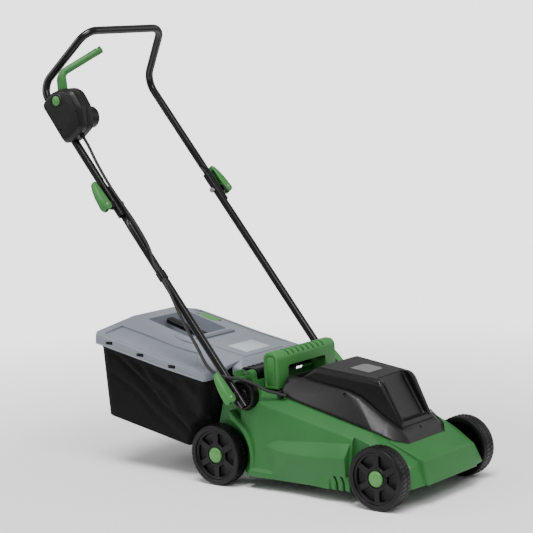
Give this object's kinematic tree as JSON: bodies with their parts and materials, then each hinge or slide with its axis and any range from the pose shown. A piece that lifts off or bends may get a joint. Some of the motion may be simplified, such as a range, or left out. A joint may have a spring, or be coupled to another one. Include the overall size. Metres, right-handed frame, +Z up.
{
  "type": "push lawn mower",
  "caption": "Corded electric rotary lawn mower with a moulded deck, spinning blade, small wheels, a rear grass box with fabric sides and a folding tube handle with switch and bail lever.",
  "frame": {"origin": "on the ground under the middle of the mower's bounding box", "axes": "+Z up, +Y towards the user at the handle, the front of the deck faces -Y, the switch is on the -X side"},
  "size_m": [0.469, 1.0122, 1.0523],
  "materials": {
    "green_plastic": "moulded, satin",
    "black_plastic": "moulded, satin",
    "cover_plastic": "moulded, satin",
    "lid_plastic": "moulded, fine grain",
    "wheel_plastic": "moulded",
    "bag_fabric": "woven mesh cloth",
    "tube_paint": "powder coat, semi gloss",
    "zinc_steel": "zinc plated",
    "blade_steel": "ground",
    "motor_metal": "pressed steel can",
    "capacitor_plastic": "moulded",
    "lead_rubber": "moulded sheath"
  },
  "bodies": {
    "chassis": {"deck_housing": "green_plastic", "motor_cover": "cover_plastic", "cover_skirt": "cover_plastic", "carry_handle": "green_plastic", "front_axle": "zinc_steel", "rear_axle": "zinc_steel", "flap_rod": "zinc_steel", "flap_spring": "zinc_steel", "motor": "motor_metal", "capacitor": "capacitor_plastic", "pivot_bracket_near": "black_plastic", "pivot_bracket_far": "black_plastic"},
    "rotor": {"motor_shaft": "zinc_steel", "blade_carrier": "black_plastic", "blade": "blade_steel", "blade_bolt": "zinc_steel"},
    "flap": {"rear_flap": "black_plastic"},
    "grass_box": {"box_lid": "lid_plastic", "grass_bag": "bag_fabric", "bag_frame": "zinc_steel", "box_grip": "black_plastic"},
    "indicator": {"fill_indicator": "green_plastic"},
    "lower_handle": {"lower_tube_near": "tube_paint", "lower_tube_far": "tube_paint", "clamp_bolt_lower_near": "zinc_steel", "clamp_bolt_lower_far": "zinc_steel", "clamp_saddle_lower_near": "black_plastic", "clamp_saddle_lower_far": "black_plastic", "lead_clip": "black_plastic", "lead_lower": "lead_rubber"},
    "upper_handle": {"upper_handle": "tube_paint", "clamp_bolt_upper_near": "zinc_steel", "clamp_bolt_upper_far": "zinc_steel", "clamp_saddle_upper_near": "black_plastic", "clamp_saddle_upper_far": "black_plastic", "switch_case_outer": "cover_plastic", "switch_case_inner": "black_plastic", "plug_inlet": "black_plastic", "lead_gland": "lead_rubber", "lead_upper": "lead_rubber"},
    "bail": {"bail_lever": "green_plastic"},
    "button": {"safety_button": "green_plastic"},
    "wheel_front_near": {"wheel_front_near": "wheel_plastic", "hub_cap_front_near": "green_plastic"},
    "wheel_front_far": {"wheel_front_far": "wheel_plastic", "hub_cap_front_far": "green_plastic"},
    "wheel_rear_near": {"wheel_rear_near": "wheel_plastic", "hub_cap_rear_near": "green_plastic"},
    "wheel_rear_far": {"wheel_rear_far": "wheel_plastic", "hub_cap_rear_far": "green_plastic"},
    "lever_upper_near": {"clamp_lever_upper_near": "green_plastic", "clamp_pin_upper_near": "zinc_steel"},
    "lever_upper_far": {"clamp_lever_upper_far": "green_plastic", "clamp_pin_upper_far": "zinc_steel"},
    "lever_lower_near": {"clamp_lever_lower_near": "green_plastic", "clamp_pin_lower_near": "zinc_steel"},
    "lever_lower_far": {"clamp_lever_lower_far": "green_plastic", "clamp_pin_lower_far": "zinc_steel"}
  },
  "joints": [
    {"name": "wheel_front_near_spin", "type": "hinge", "parent": "chassis", "child": "wheel_front_near", "pos_m": [0, -0.4258, 0.07], "axis": [1, 0, 0], "continuous": true},
    {"name": "wheel_front_far_spin", "type": "hinge", "parent": "chassis", "child": "wheel_front_far", "pos_m": [0, -0.4258, 0.07], "axis": [1, 0, 0], "continuous": true},
    {"name": "wheel_rear_near_spin", "type": "hinge", "parent": "chassis", "child": "wheel_rear_near", "pos_m": [0, 0.0187, 0.07], "axis": [1, 0, 0], "continuous": true},
    {"name": "wheel_rear_far_spin", "type": "hinge", "parent": "chassis", "child": "wheel_rear_far", "pos_m": [0, 0.0187, 0.07], "axis": [1, 0, 0], "continuous": true},
    {"name": "rotor_spin", "type": "hinge", "parent": "chassis", "child": "rotor", "pos_m": [0, -0.2538, 0.06], "axis": [0, 0, 1], "continuous": true},
    {"name": "flap_hinge", "type": "hinge", "parent": "chassis", "child": "flap", "pos_m": [0, -0.0573, 0.2565], "axis": [1, 0, 0], "range_deg": [0, 50], "stiffness_Nm_per_rad": 0.04, "springref_deg": -34.38},
    {"name": "box_slide", "type": "slide", "parent": "chassis", "child": "grass_box", "axis": [0, 1, 0], "range_m": [0, 0.15]},
    {"name": "indicator_hinge", "type": "hinge", "parent": "grass_box", "child": "indicator", "pos_m": [0, 0.2907, 0.336], "axis": [-1, 0, 0], "range_deg": [0, 30]},
    {"name": "lower_fold", "type": "hinge", "parent": "chassis", "child": "lower_handle", "pos_m": [0, -0.0528, 0.214], "axis": [1, 0, 0], "range_deg": [0, 105], "deforming": ["lead_lower"]},
    {"name": "upper_fold", "type": "hinge", "parent": "lower_handle", "child": "upper_handle", "pos_m": [0, 0.28931, 0.63799], "axis": [1, 0, 0], "range_deg": [-118, 0], "deforming": ["lead_upper"]},
    {"name": "lever_upper_near_swing", "type": "hinge", "parent": "upper_handle", "child": "lever_upper_near", "pos_m": [-0.222, 0.28931, 0.63799], "axis": [0, -0.7782, 0.628], "range_deg": [0, 100]},
    {"name": "lever_upper_far_swing", "type": "hinge", "parent": "upper_handle", "child": "lever_upper_far", "pos_m": [0.222, 0.28931, 0.63799], "axis": [0, 0.7782, -0.628], "range_deg": [0, 100]},
    {"name": "lever_lower_near_swing", "type": "hinge", "parent": "lower_handle", "child": "lever_lower_near", "pos_m": [-0.215, -0.0528, 0.214], "axis": [0, -0.7782, 0.628], "range_deg": [0, 100]},
    {"name": "lever_lower_far_swing", "type": "hinge", "parent": "lower_handle", "child": "lever_lower_far", "pos_m": [0.215, -0.0528, 0.214], "axis": [0, 0.7782, -0.628], "range_deg": [0, 100]},
    {"name": "bail_hinge", "type": "hinge", "parent": "upper_handle", "child": "bail", "pos_m": [0, 0.4382, 0.882], "axis": [-1, 0, 0], "range_deg": [0, 12.5], "stiffness_Nm_per_rad": 0.8, "springref_deg": -17.19},
    {"name": "button_press", "type": "slide", "parent": "upper_handle", "child": "button", "axis": [1, 0, 0], "range_m": [0, 0.004], "stiffness_N_per_m": 400, "springref_m": -0.002}
  ]
}
